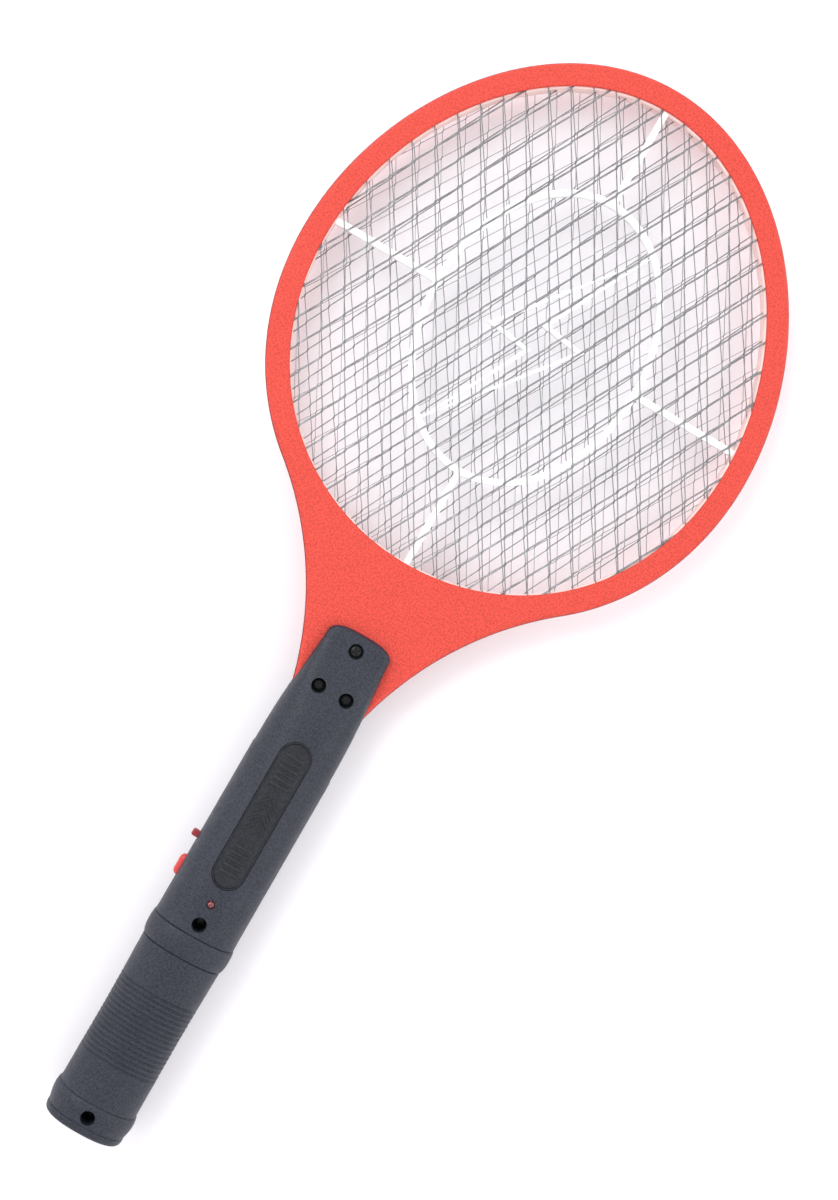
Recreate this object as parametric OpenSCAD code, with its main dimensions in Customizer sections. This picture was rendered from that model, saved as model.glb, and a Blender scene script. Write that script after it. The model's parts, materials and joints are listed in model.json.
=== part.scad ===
// Electric fly swatter: a two-part racket frame with three stamped sheets, on a battery handle.
// +Y runs from the butt to the top of the head, +Z is the front, and Z = 0 is the lowest point of the back.

/* [Overall] */
// Length of the handle, from the butt to the end of its crown
handle_l = 233.3; // [228:0.1:282]
// Length of the neck that shows between the crown and the oval opening
neck_l = 34.2; // [30:0.1:42]

/* [Head] */
// Length of the oval opening
opening_l = 216.6; // [180:0.1:240]
// Width of the oval opening
opening_w = 191.9; // [160:0.1:231]
// How much wider the oval is near the handle than half way up, as a share
egg = 0.075; // [0:0.005:0.1]
// Width of the rim around the opening
rim_w = 9.9; // [9:0.1:16]
// Thickness of the frame, both halves together
frame_t = 13; // [12:0.1:16]
// Thickness of the lip that holds each guard sheet in
lip_t = 1.5; // [1:0.1:2]
// How far the sheets reach into the rim
seat_w = 4.5; // [3:0.1:6]
// Half the width of the neck at its narrowest
neck_half = 12.2; // [11.8:0.1:14]
// Angle below the middle of the rim at which the hollow flanks of the neck begin
flank_t = 53.4; // [50:0.1:56]
// Wall of the hollow neck
neck_wall = 2.2; // [1.6:0.1:3]
// Length of the neck that lies inside the handle
tongue_l = 45; // [40:1:50]

/* [Sheets and spacers] */
// Thickness of each stamped sheet
sheet_t = 0.6; // [0.4:0.1:1]
// Width of a strand
strand_w = 0.8; // [0.6:0.1:1.4]
// Length of a diamond, along the head
diamond_l = 19.64; // [14:0.02:26]
// Width of a diamond, across the head
diamond_w = 10.76; // [8:0.02:16]
// Length of the joint between two diamonds
bond_l = 1.6; // [1:0.1:3]
// Width of the sheets' plain border
border_w = 1.6; // [1:0.1:3]
// Width of the spacers' bars
bar_w = 2.8; // [2:0.1:4]
// Width of the bars that draw the bolt
bolt_bar = 1.8; // [1.2:0.1:2]
// Length of the spacers' oval ring
oval_l = 127.6; // [100:0.1:140]
// Width of the spacers' oval ring
oval_w = 94.6; // [80:0.1:110]

/* [Handle] */
// Width of the upper handle
handle_w = 36.5; // [35:0.1:44]
// Depth of the upper handle
handle_d = 33.6; // [32.6:0.1:42]
// Width of the handle's end at the head
crown_w = 28.9; // [26:0.1:34]
// Depth of the handle's end at the head
crown_d = 22.5; // [21:0.1:26]
// Length of the handle's taper towards the head
taper_l = 47; // [40:1:55]
// Radius of the crown's corners
crown_r = 5.5; // [3:0.5:8]
// How far the grip is narrower than the upper handle
grip_step = 1.3; // [0.8:0.1:2]
// How far the collar and the butt stand out beyond the upper handle
collar_step = 1.6; // [1:0.1:3]
// End of the butt
butt_y = 13.3; // [13:0.1:17]
// Start of the collar
collar_y = 82.3; // [82:0.1:86]
// Length of the collar
collar_l = 10.2; // [8:0.1:12]
// Wall of the shells
wall = 2; // [1.6:0.1:2.4]

/* [Controls] */
// Distance from the collar to the centre of the push button
button_from_collar = 20.9; // [20:0.1:22]
// Length of the push button
button_l = 9.5; // [8:0.1:11]
// How far the push button stands out
button_out = 2.1; // [1.5:0.1:3]
// Travel of the push button
button_travel = 1; // [0.5:0.1:1.2]
// Distance from the collar to the slide switch's knob when it is off
knob_from_collar = 35.2; // [34.8:0.1:37]
// Width of the knob
knob_l = 3.1; // [2.5:0.1:4]
// How far the knob stands out
knob_out = 3; // [2:0.1:4]
// Travel of the knob
knob_travel = 3; // [2:0.1:3]

/* [Fasteners] */
// Diameter of the screws' recesses
recess_d = 6; // [5.6:0.1:7]
// Diameter of the screws' heads
head_d = 5.2; // [4.5:0.1:5.4]
// Diameter of the screws' shanks
shank_d = 2.6; // [2:0.1:3]
// Outer diameter of the screw bosses
boss_d = 8; // [7.5:0.1:9]

/* [Power] */
// Diameter of a battery cell
cell_d = 14.3; // [14:0.1:14.5]
// Length of a battery cell, with its nub
cell_l = 50.5; // [48:0.1:50.5]
// Thickness of the circuit board
board_t = 1.6; // [1:0.1:2]
// Diameter of the insulated wires
wire_d = 1.4; // [1:0.1:1.6]

/* [Fits] */
// Gap between fixed parts that fit together
fit = 0.1; // [0.05:0.05:0.2]
// Gap around moving parts
run_gap = 0.3; // [0.2:0.05:0.4]

/* [Hidden] */
$fn = 48;

// The widest part of the handle is the collar, and it sets the height of the middle plane.
collar_w = handle_w + collar_step;
collar_d = handle_d + collar_step;
grip_w = handle_w - grip_step;
grip_d = handle_d - grip_step;
mid_z = collar_d / 2;

// Head
in_a = opening_w / 2;
in_b = opening_l / 2;
out_a = in_a + rim_w;
out_b = in_b + rim_w;
head_y = handle_l + neck_l + in_b;
total_l = head_y + out_b;
half_t = frame_t / 2;
seat_t = half_t - lip_t;
tongue_y = handle_l - tongue_l;
taper_y = handle_l - taper_l;
collar_end = collar_y + collar_l;
button_y = collar_end + button_from_collar;
knob_y = collar_end + knob_from_collar;
// Where a flank leaves the rim, the way out from the rim there, and the flank's radius and centre
flank_from = oval(out_a, out_b, -flank_t, 0, 1)[0];
flank_way = unit([out_b * cos(flank_t),
  out_a * (egg * pow(cos(flank_t), 2) - sin(flank_t) * (1 + egg * sin(flank_t)))]);
flank_r = (flank_from.x - neck_half) / (1 - flank_way.x);
flank_x = neck_half + flank_r;
flank_y = flank_from.y + flank_r * flank_way.y;
neck_top = head_y - in_b - seat_w;

// Stack between the lips, from the middle plane out
guard_z = seat_t - sheet_t;
spacer_z = sheet_t / 2;
spacer_t = guard_z - spacer_z;
// How far the spacers' rims show inside the opening
rim_shows = 0.5;
tab_w = 5;
tab_l = 8;
tab_x = 8;

// Handle
inner_w = handle_w - 2 * wall;
inner_d = handle_d - 2 * wall;
bay_w = grip_w - 2 * wall;
bay_d = grip_d - 2 * wall;
front_z = mid_z + handle_d / 2;
neck_screw_y = handle_l - 26.8;
top_screw_y = handle_l - 7.4;
neck_screw_x = 6.5;
butt_screw_y = butt_y - 5.8;
collar_screw_y = collar_end + 5.4;
head_t = 1.6;
seat_z = 4;
neck_seat = 1.8;
shank_l = 14;
pilot_d = shank_d + 2 * fit;
clear_d = shank_d + 0.6;

// Battery bay
bulkhead_t = 1.6;
bay_y0 = butt_y + 3.4;
bay_y1 = collar_y - 1.6;
cell_x = cell_d / 2 + 0.2;
cell_y0 = (bay_y0 + bay_y1 - cell_l) / 2;
nub_l = 1;
plate_t = 0.5;
plate_w = 11;
plate_h = 12;
pad_d = 4;
spring_l = cell_y0 - bay_y0 - plate_t;
door_y0 = bay_y0 + 1;
door_y1 = bay_y1 - 3;
door_half = bay_w / 2 - 3;
door_z = mid_z - grip_d / 2;
hook_w = 4;
hook_h = 2.4;
hook_t = 1;
hook_in = 0.9;

// Board and what stands on it
board_w = 25;
board_z = mid_z - 6;
board_top = board_z + board_t;
board_y0 = collar_screw_y + boss_d / 2 + 1;
board_y1 = tongue_y - 5;
led_d = 3;
led_y = collar_screw_y + 9.5;
badge_y0 = collar_end + 22.4;
badge_l = 67.8;
badge_w = 14.2;
badge_deep = 1.2;
badge_t = 0.5;
wall_x = handle_w / 2 - wall;
flange_x = wall_x - 2 * run_gap;
button_h = 5.5;
flange_t = 1.4;
flange_lip = 1.2;
plunger_d = 3.4;
plunger_in = 1.6;
stop_gap = 1.4;
case_x = flange_x - flange_t - button_travel - stop_gap;
case_t = 6;
case_top = mid_z + 3.5;
push_case_l = 7;
knob_h = 4;
slide_case_l = 13;
knob_mid = knob_y - knob_travel / 2;
stem_w = 2;
stem_in = 1.8;
core_y = board_y1 - 35;
core_w = 16;
core_h = 14;
core_t = 5;
leg_w = 4.8;
yoke_t = 2;
window_w = (core_w - leg_w) / 2 - yoke_t;
flange_h = 1;
bobbin_h = core_h - 2 * yoke_t - 2 * fit;
bobbin_x = core_w / 2 - yoke_t - 2 * fit;

// Wires: where they start at the bay, lie on the board, run in the neck and meet the sheets' tabs
wire_y0 = bay_y1 + fit;
pad_z = board_top + wire_d / 2 + fit;
entry_x = neck_half - neck_wall - wire_d;
post_r = (boss_d - 1) / 2;
// The wires pass between the posts of the two lower neck screws and then round the post of the upper one.
between_x = neck_screw_x - post_r - wire_d / 2 - 2 * fit;
beside_x = post_r + wire_d / 2 + 2 * fit;
tab_y = neck_top - tab_l + 6;

function unit(v) = v / norm(v);

// A round-sided rectangle, w wide and d deep
function section(w, d, n = 40) = [
  for (i = [0 : n - 1])
    let (c = cos(i * 360 / n), s = sin(i * 360 / n))
      [w / 2 * sign(c) * pow(abs(c), 2 / 2.4), d / 2 * sign(s) * pow(abs(s), 2 / 2.4)]
];

// Points of the head's egg-shaped oval, from angle t0 to angle t1
function oval(a, b, t0 = 0, t1 = 360, n = 90) = [
  for (i = [0 : n]) let (t = t0 + (t1 - t0) * i / n) [a * cos(t) * (1 - egg * sin(t)), head_y + b * sin(t)]
];

// Points of a plain ellipse about the head's centre
function ellipse(a, b, n = 90) = [
  for (i = [0 : n - 1]) [a * cos(i * 360 / n), head_y + b * sin(i * 360 / n)]
];

// Points of one flank of the neck, from the tongue to the rim
function flank(grow) =
  let (r = flank_r - grow, low = asin(min(1, max(0, (tongue_y - flank_y) / r))),
       high = asin(-flank_way.y), n = 14)
    [for (i = [0 : n - 1]) let (t = low + (high - low) * i / n) [flank_x - r * cos(t), flank_y + r * sin(t)]];

// Outline of the frame, grown outwards by a clearance
function frame_outline(grow = 0) =
  let (edge = flank(grow),
       side = edge[0].y > tongue_y + 0.01 ? concat([[edge[0].x, tongue_y]], edge) : edge,
       n = len(side))
    concat(side, oval(out_a + grow, out_b + grow, -flank_t, 180 + flank_t, 110),
      [for (i = [n - 1 : -1 : 0]) [-side[i].x, side[i].y]]);

// Everything is measured from the butt and moved so that the middle of the length is at Y = 0.
module placed() {
  translate([0, -total_l / 2, 0]) children();
}

module along_y(y0, y1) {
  translate([0, y1, mid_z]) rotate([90, 0, 0]) linear_extrude(y1 - y0) children();
}

module block(x0, x1, y0, y1, z0, z1) {
  translate([x0, y0, z0]) cube([x1 - x0, y1 - y0, z1 - z0]);
}

module upright(x, y, z0, z1, d) {
  translate([x, y, z0]) cylinder(h = z1 - z0, d = d);
}

// Places of the three neck screws
module neck_screw_places() {
  for (p = [[neck_screw_x, neck_screw_y], [-neck_screw_x, neck_screw_y], [0, top_screw_y]])
    translate([p.x, p.y, 0]) children();
}

module handle_screw_places() {
  for (y = [butt_screw_y, collar_screw_y]) translate([0, y, 0]) children();
}

// ---- head ----

// Half of the frame, as a front half whose parting face lies on Z = 0
module frame_half() {
  difference() {
    linear_extrude(half_t) polygon(frame_outline());
    translate([0, 0, -1]) linear_extrude(half_t + 2) polygon(oval(in_a, in_b));
    translate([0, 0, -1]) linear_extrude(seat_t + 1) polygon(oval(in_a + seat_w, in_b + seat_w));
    difference() {
      translate([0, 0, -1]) linear_extrude(seat_t + 1) intersection() {
        polygon(frame_outline(-neck_wall));
        translate([-out_a, tongue_y - 1]) square([2 * out_a, neck_top - 1.5 - tongue_y + 1]);
      }
      neck_screw_places() translate([0, 0, -2]) cylinder(h = frame_t, r = post_r);
    }
    // Passage from the hollow neck to the sheets' seat
    block(-tab_x - tab_w, tab_x + tab_w, neck_top - 3, neck_top + seat_w, -1, seat_t);
    neck_screw_places() translate([0, 0, -1]) cylinder(h = half_t + 2, d = clear_d);
  }
}

module frame_front() {
  color("tomato") placed() translate([0, 0, mid_z]) frame_half();
}

module frame_rear() {
  color("tomato") placed() translate([0, 0, mid_z]) mirror([0, 0, 1]) frame_half();
}

// One hole of a stamped sheet: a diamond with its side corners cut off by the joints
module diamond() {
  side = diamond_w / 2;
  tip = diamond_l / 2 - bond_l / 2;
  slope = atan2(tip - bond_l / 2, side);
  y_tip = tip - strand_w / 2 / cos(slope);
  x_side = side - strand_w / 2;
  y_side = y_tip - x_side * tan(slope);
  polygon([[x_side, -y_side], [x_side, y_side], [0, y_tip],
    [-x_side, y_side], [-x_side, -y_side], [0, -y_tip]]);
}

// Stamped sheet with its plain border and a solder tab at tab_at, turned by a few degrees in its seat
module sheet(turn, shift, tab_at) {
  edge_a = in_a + seat_w - fit;
  edge_b = in_b + seat_w - fit;
  cols = ceil(edge_a * (1 + egg) / diamond_w) + 1;
  rows = ceil(edge_b / diamond_l) + 1;
  linear_extrude(sheet_t) union() {
    difference() {
      polygon(oval(edge_a, edge_b));
      intersection() {
        polygon(oval(edge_a - border_w, edge_b - border_w));
        translate([0, head_y]) rotate(turn)
          for (i = [-2 * cols : 2 * cols], j = [-2 * rows : 2 * rows])
            if ((i + j) % 2 == 0)
              let (x = (i + shift.x) * diamond_w / 2, y = (j + shift.y) * diamond_l / 2)
                if (pow(x / (edge_a * (1 + egg) + diamond_w / 2), 2)
                    + pow(y / (edge_b + diamond_l / 2), 2) < 1)
                  translate([x, y]) diamond();
      }
    }
    translate([tab_at - tab_w / 2, neck_top - tab_l + 5]) square([tab_w, tab_l]);
  }
}

module guard_sheet_front() {
  color("lightsteelblue") placed() translate([0, 0, mid_z + guard_z]) sheet(1.5, [-0.8, -0.06], tab_x);
}

module guard_sheet_rear() {
  color("lightsteelblue") placed() translate([0, 0, mid_z - guard_z - sheet_t]) sheet(-1.5, [0.5, 0.5], tab_x);
}

module inner_sheet() {
  color("silver") placed() translate([0, 0, mid_z - sheet_t / 2]) sheet(3.95, [-0.11, 0.37], -tab_x);
}

// Corners of a lightning bolt, the general sign for high voltage, that reaches to the oval ring
function bolt_corners() =
  let (half = [[0.535, 0.832], [-0.442, -0.069], [-0.044, -0.109]])
    [for (sign = [1, -1], p = half) [sign * p.x * oval_w / 2, head_y + sign * p.y * oval_l / 2]];

// The same outline with every side moved inwards by d
function inset(points, d) =
  let (n = len(points))
    [for (i = [0 : n - 1])
      let (u = unit(points[i] - points[(i + n - 1) % n]), v = unit(points[(i + 1) % n] - points[i]),
           turn = u.x * v.y - u.y * v.x)
        points[i] + d * (v - u) / turn];

// Insulating spacer: a rim in the seat and, with the grid, four spokes, an oval ring and a bolt
module spacer(grid) {
  rim_a = in_a + seat_w - fit;
  rim_b = in_b + seat_w - fit;
  linear_extrude(spacer_t) {
    difference() {
      polygon(oval(rim_a, rim_b));
      polygon(oval(in_a - rim_shows, in_b - rim_shows));
      // Room for the tabs and wires
      translate([-tab_x - tab_w, head_y - rim_b - 1]) square([2 * (tab_x + tab_w), 2]);
    }
    if (grid) {
      difference() {
        polygon(ellipse((oval_w + bar_w) / 2, (oval_l + bar_w) / 2));
        polygon(ellipse((oval_w - bar_w) / 2, (oval_l - bar_w) / 2));
      }
      for (side = [-1, 1]) {
        translate([side * (oval_w / 2 + rim_a - 1) / 2, head_y])
          square([rim_a - 1 - oval_w / 2, bar_w], center = true);
        translate([0, head_y + side * (oval_l / 2 + rim_b - 1) / 2])
          square([bar_w, rim_b - 1 - oval_l / 2], center = true);
      }
      difference() {
        polygon(bolt_corners());
        polygon(inset(bolt_corners(), bolt_bar));
      }
    }
  }
}

module spacer_front() {
  color("white") placed() translate([0, 0, mid_z + spacer_z]) spacer(true);
}

module spacer_rear() {
  color("white") placed() translate([0, 0, mid_z - spacer_z]) mirror([0, 0, 1]) spacer(false);
}

// ---- handle shells ----

// Outer form of the whole handle
module handle_form() {
  along_y(0, butt_y) polygon(section(collar_w, collar_d - 1));
  along_y(butt_y - 1, collar_y + 1) polygon(section(grip_w, grip_d));
  along_y(collar_y, collar_end) polygon(section(collar_w, collar_d));
  intersection() {
    along_y(collar_end - 1, handle_l) polygon(section(handle_w, handle_d));
    linear_extrude(2 * mid_z + 1) polygon(plan_outline());
    translate([-handle_w, 0, 0]) rotate([90, 0, 90]) linear_extrude(2 * handle_w) polygon(side_outline());
  }
}

// The upper handle seen from the front: straight, then tapering to a crown with round corners
function plan_outline() =
  let (w = handle_w / 2 + 1, c = crown_w / 2, shoulder = handle_l - 2.5 - crown_r,
       corner = [for (t = [0 : 15 : 75]) [c - crown_r + crown_r * cos(t), shoulder + crown_r * sin(t)]],
       right = concat([[w, collar_y], [w, taper_y - 10], [handle_w / 2, taper_y]], corner,
                      [[c - crown_r, handle_l - 2.2], [(c - crown_r) / 2, handle_l - 0.6]]),
       n = len(right))
    concat(right, [[0, handle_l]], [for (i = [n - 1 : -1 : 0]) [-right[i].x, right[i].y]]);

// The upper handle seen from the side
function side_outline() = [
  [collar_y, mid_z - handle_d / 2 - 1], [taper_y - 10, mid_z - handle_d / 2 - 1],
  [taper_y, mid_z - handle_d / 2], [handle_l - 4, mid_z - crown_d / 2],
  [handle_l + 1, mid_z - crown_d / 2 + 3], [handle_l + 1, mid_z + crown_d / 2 - 3],
  [handle_l - 4, mid_z + crown_d / 2], [taper_y, mid_z + handle_d / 2],
  [taper_y - 10, mid_z + handle_d / 2 + 1], [collar_y, mid_z + handle_d / 2 + 1]
];

// Space inside the shells, up to the solid neck end that clamps the frame
module handle_hollow() {
  along_y(wall, bay_y1 + 2) polygon(section(bay_w, bay_d));
  along_y(bay_y1 + 1.9, tongue_y + 2) polygon(section(inner_w, inner_d));
}

// Room for the frame's neck, as thick as the frame
module neck_room() {
  translate([0, 0, mid_z - half_t - fit]) linear_extrude(frame_t + 2 * fit)
    intersection() {
      polygon(frame_outline(fit));
      translate([-handle_w, tongue_y - 1]) square([2 * handle_w, tongue_l + 10]);
    }
  tongue_half = flank(fit)[0].x;
  block(-tongue_half, tongue_half, tongue_y - 1, tongue_y + 1, mid_z - half_t - fit, mid_z + half_t + fit);
}

module front_half_space() {
  block(-handle_w, handle_w, -1, handle_l + 1, mid_z, 3 * mid_z);
}

module rear_half_space() {
  block(-handle_w, handle_w, -1, handle_l + 1, -mid_z, mid_z);
}

// Slots in the left wall for the button and the knob, half in each shell
module control_slots() {
  block(-handle_w, -wall_x + 2, button_y - button_l / 2 - run_gap, button_y + button_l / 2 + run_gap,
    mid_z - button_h / 2 - run_gap, mid_z + button_h / 2 + run_gap);
  block(-handle_w, -wall_x + 2, knob_y - knob_travel - knob_l / 2 - run_gap, knob_y + knob_l / 2 + run_gap,
    mid_z - knob_h / 2 - run_gap, mid_z + knob_h / 2 + run_gap);
}

module badge_shape(grow) {
  r = badge_w / 2 + grow;
  y0 = badge_y0 + badge_w / 2;
  y1 = badge_y0 + badge_l - badge_w / 2;
  polygon(concat([for (t = [0 : 12 : 180]) [r * cos(t), y1 + r * sin(t)]],
    [for (t = [180 : 12 : 360]) [r * cos(t), y0 + r * sin(t)]]));
}

module handle_front_shell() {
  color("darkslategray") placed() difference() {
    union() {
      intersection() {
        difference() {
          handle_form();
          handle_hollow();
        }
        front_half_space();
      }
      intersection() {
        handle_screw_places() upright(0, 0, mid_z, 2 * mid_z, boss_d);
        handle_form();
      }
    }
    neck_room();
    control_slots();
    handle_screw_places() {
      upright(0, 0, mid_z + seat_z, 3 * mid_z, recess_d);
      upright(0, 0, mid_z - 1, mid_z + seat_z + 1, clear_d);
    }
    neck_screw_places() {
      upright(0, 0, mid_z + half_t + neck_seat, 3 * mid_z, recess_d);
      upright(0, 0, mid_z, 3 * mid_z, clear_d);
    }
    upright(0, led_y, mid_z, 3 * mid_z, led_d + 2 * fit);
    translate([0, 0, front_z - badge_deep]) linear_extrude(badge_deep + 1) badge_shape(fit);
  }
}

module handle_rear_shell() {
  color("darkslategray") placed() difference() {
    union() {
      intersection() {
        difference() {
          handle_form();
          handle_hollow();
        }
        rear_half_space();
      }
      // Bulkheads at both ends of the battery bay
      intersection() {
        along_y(0, handle_l) polygon(section(bay_w + 1, bay_d + 1));
        union() {
          block(-bay_w, bay_w, bay_y0 - bulkhead_t, bay_y0, 0, mid_z - 1);
          block(-bay_w, bay_w, bay_y1, bay_y1 + bulkhead_t, 0, mid_z - 1);
        }
      }
      intersection() {
        handle_screw_places() upright(0, 0, 0, mid_z, boss_d);
        handle_form();
      }
      // Posts that carry the circuit board
      for (x = [-8, 8], y = [board_y0 + 5, board_y1 - 5]) upright(x, y, mid_z - inner_d / 2, board_z, 4);
    }
    neck_room();
    control_slots();
    handle_screw_places() upright(0, 0, mid_z - 12, mid_z + 1, pilot_d);
    neck_screw_places() upright(0, 0, mid_z - crown_d / 2 + 1.2, mid_z, pilot_d);
    door_room();
  }
}

// Opening for the battery door, a running gap larger than the door
module door_room() {
  block(-door_half - run_gap, door_half + run_gap, door_y0 - run_gap, door_y1 + run_gap, -mid_z, mid_z - 6);
}

// Battery door: a panel of the grip's back that tips out on two hooks
module battery_door() {
  color("slategray") placed() {
    intersection() {
      difference() {
        along_y(door_y0, door_y1) polygon(section(grip_w, grip_d));
        along_y(door_y0 - 1, door_y1 + 1) polygon(section(bay_w, bay_d));
      }
      block(-door_half, door_half, door_y0, door_y1, -mid_z, mid_z - 6);
    }
    for (x = [-7, 3])
      translate([x, door_y1 - 3, door_z + wall + 0.2]) {
        cube([hook_w, 2.6, hook_h]);
        translate([0, 0, hook_h - hook_t]) cube([hook_w, 3 + run_gap + hook_in, hook_t]);
      }
  }
}

module badge_plate() {
  color("black") placed()
    translate([0, 0, front_z - badge_deep]) linear_extrude(badge_t) badge_shape(0);
}

// ---- fasteners ----

// Screw whose head sits on Z = 0
module screw(length) {
  difference() {
    cylinder(h = head_t, d = head_d);
    for (a = [0, 90]) rotate(a) translate([-1.6, -0.35, head_t - 0.9]) cube([3.2, 0.7, 1]);
  }
  translate([0, 0, -length]) cylinder(h = length + 0.1, d = shank_d);
}

module handle_screws() {
  color("dimgray") placed() handle_screw_places() translate([0, 0, mid_z + seat_z]) screw(shank_l);
}

module neck_screws() {
  color("dimgray") placed() neck_screw_places()
    translate([0, 0, mid_z + half_t + neck_seat]) screw(half_t + neck_seat + crown_d / 2 - 2);
}

// ---- controls on the left side ----

module push_button() {
  color("red") placed() {
    block(-handle_w / 2 - button_out, -flange_x, button_y - button_l / 2, button_y + button_l / 2,
      mid_z - button_h / 2, mid_z + button_h / 2);
    block(-flange_x, -flange_x + flange_t,
      button_y - button_l / 2 - flange_lip, button_y + button_l / 2 + flange_lip,
      mid_z - button_h / 2 - flange_lip, mid_z + button_h / 2 + flange_lip);
  }
}

module push_switch_plunger() {
  color("black") placed() translate([-flange_x + flange_t, button_y, mid_z]) rotate([0, 90, 0])
    cylinder(h = button_travel + stop_gap + plunger_in, d = plunger_d);
}

module push_switch_body() {
  color("dimgray") placed() difference() {
    block(-case_x, -case_x + case_t, button_y - push_case_l / 2, button_y + push_case_l / 2,
      board_top, case_top);
    translate([-case_x - 1, button_y, mid_z]) rotate([0, 90, 0])
      cylinder(h = 1 + plunger_in + button_travel + stop_gap, d = plunger_d + 2 * run_gap);
  }
}

module slide_switch_knob() {
  color("red") placed() {
    block(-handle_w / 2 - knob_out, -flange_x, knob_y - knob_l / 2, knob_y + knob_l / 2,
      mid_z - knob_h / 2, mid_z + knob_h / 2);
    block(-flange_x, -flange_x + flange_t, knob_y - 4.2, knob_y + 4.2, mid_z - knob_h, mid_z + knob_h);
    block(-flange_x + flange_t, -case_x + stem_in, knob_y - stem_w / 2, knob_y + stem_w / 2,
      mid_z - stem_w / 2, mid_z + stem_w / 2);
  }
}

module slide_switch_body() {
  color("silver") placed() difference() {
    block(-case_x, -case_x + case_t, knob_mid - slide_case_l / 2, knob_mid + slide_case_l / 2,
      board_top, case_top);
    block(-case_x - 1, -case_x + stem_in + run_gap, knob_y - knob_travel - stem_w / 2 - run_gap,
      knob_y + stem_w / 2 + run_gap, mid_z - stem_w / 2 - run_gap, mid_z + stem_w / 2 + run_gap);
  }
}

// ---- indicator lamp ----

module led_lens() {
  color("pink") placed() translate([0, led_y, front_z - 4.2]) {
    cylinder(h = 4.2, d = led_d);
    translate([0, 0, 4.2 - 0.8]) sphere(d = led_d - 0.05);
    translate([0, 0, -0.8]) cylinder(h = 0.8, d = led_d);
  }
}

module led_leads() {
  color("silver") placed()
    for (x = [-1.27 / 2, 1.27 / 2]) upright(x, led_y, board_top, front_z - 5, 0.5);
}

// ---- circuit board ----

module circuit_board() {
  color("peru") placed() difference() {
    block(-board_w / 2, board_w / 2, board_y0, board_y1, board_z, board_top);
    for (x = [-11, 11], y = [board_y0 + 2, board_y1 - 2]) upright(x, y, board_z - 1, board_top + 1, 1.2);
  }
}

// Core of two E halves, standing on the board with its middle leg upright
module transformer_core() {
  color("gray") placed() translate([0, core_y, board_top + flange_h]) difference() {
    translate([-core_w / 2, -core_t / 2, 0]) cube([core_w, core_t, core_h]);
    for (side = [-1, 1])
      translate([side * (leg_w + window_w) / 2 - window_w / 2, -core_t, yoke_t])
        cube([window_w, 2 * core_t, core_h - 2 * yoke_t]);
  }
}

module transformer_bobbin() {
  color("ivory") placed() translate([0, core_y, board_top + flange_h + yoke_t + fit]) difference() {
    union() {
      for (z = [0, bobbin_h - flange_h]) translate([-bobbin_x, -7, z]) cube([2 * bobbin_x, 14, flange_h]);
      translate([-leg_w / 2 - 1, -core_t / 2 - 1, 0]) cube([leg_w + 2, core_t + 2, bobbin_h]);
    }
    translate([-leg_w / 2 - 2 * fit, -core_t / 2 - 2 * fit, -1])
      cube([leg_w + 4 * fit, core_t + 4 * fit, core_h]);
  }
}

module transformer_winding() {
  color("goldenrod") placed() translate([0, core_y, board_top + 2 * flange_h + yoke_t + fit]) difference() {
    translate([-bobbin_x + 0.3, -6.5, 0]) cube([2 * bobbin_x - 0.6, 13, bobbin_h - 2 * flange_h]);
    translate([-leg_w / 2 - 1, -core_t / 2 - 1, -1]) cube([leg_w + 2, core_t + 2, core_h]);
  }
}

module storage_capacitor() {
  color("firebrick") placed() block(-10, -2, board_y1 - 24, board_y1 - 6, board_top, board_top + 13);
}

// A round component lying across the board on its two bent leads
module axial(x, y, d, l) {
  axis_z = board_top + 2.4;
  lead = 0.6;
  translate([x - l / 2, y, axis_z]) rotate([0, 90, 0]) cylinder(h = l, d = d);
  for (side = [-1, 1]) {
    reach = x + side * (l / 2 + 1);
    block(min(x, reach), max(x, reach), y - lead / 2, y + lead / 2, axis_z - lead / 2, axis_z + lead / 2);
    block(reach - lead / 2, reach + lead / 2, y - lead / 2, y + lead / 2, board_top, axis_z + lead / 2);
  }
}

module rectifier_diodes() {
  color("black") placed() for (y = [22, 17, 12]) axial(5.5, board_y1 - y, 2.6, 5);
}

module resistors() {
  color("tan") placed() for (y = [board_y0 + 18.4, board_y0 + 23.4, board_y1 - 7]) axial(6, y, 2.3, 6);
}

module transistor() {
  color("black") placed() translate([4, board_y0 + 33.4, board_top]) {
    intersection() {
      translate([0, 0, 3]) cylinder(h = 4.6, d = 4.8);
      translate([-3, -1.2, 0]) cube([6, 6, 10]);
    }
    for (x = [-1.27, 0, 1.27]) translate([x, 0.3, 0]) cylinder(h = 3.2, d = 0.5);
  }
}

// ---- battery bay ----

// Cell along +Y with its nub at the far end
module cell() {
  rotate([-90, 0, 0]) {
    cylinder(h = cell_l - nub_l, d = cell_d);
    cylinder(h = cell_l, d = 5.5);
  }
}

module battery_left() {
  color("gold") placed() translate([-cell_x, cell_y0, mid_z]) cell();
}

module battery_right() {
  color("gold") placed() translate([cell_x, cell_y0 + cell_l, mid_z]) rotate(180) cell();
}

// Flat rings of points around a route, joined into one closed tube
function ring(p, dir, r, n) =
  let (d = unit(dir), side = unit(cross(d, abs(d.z) < 0.9 ? [0, 0, 1] : [1, 0, 0])), up = cross(side, d))
    [for (i = [0 : n - 1]) p + r * (cos(i * 360 / n) * side + sin(i * 360 / n) * up)];
function heading(route, i) =
  route[min(i + 1, len(route) - 1)] - route[max(i - 1, 0)];

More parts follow.
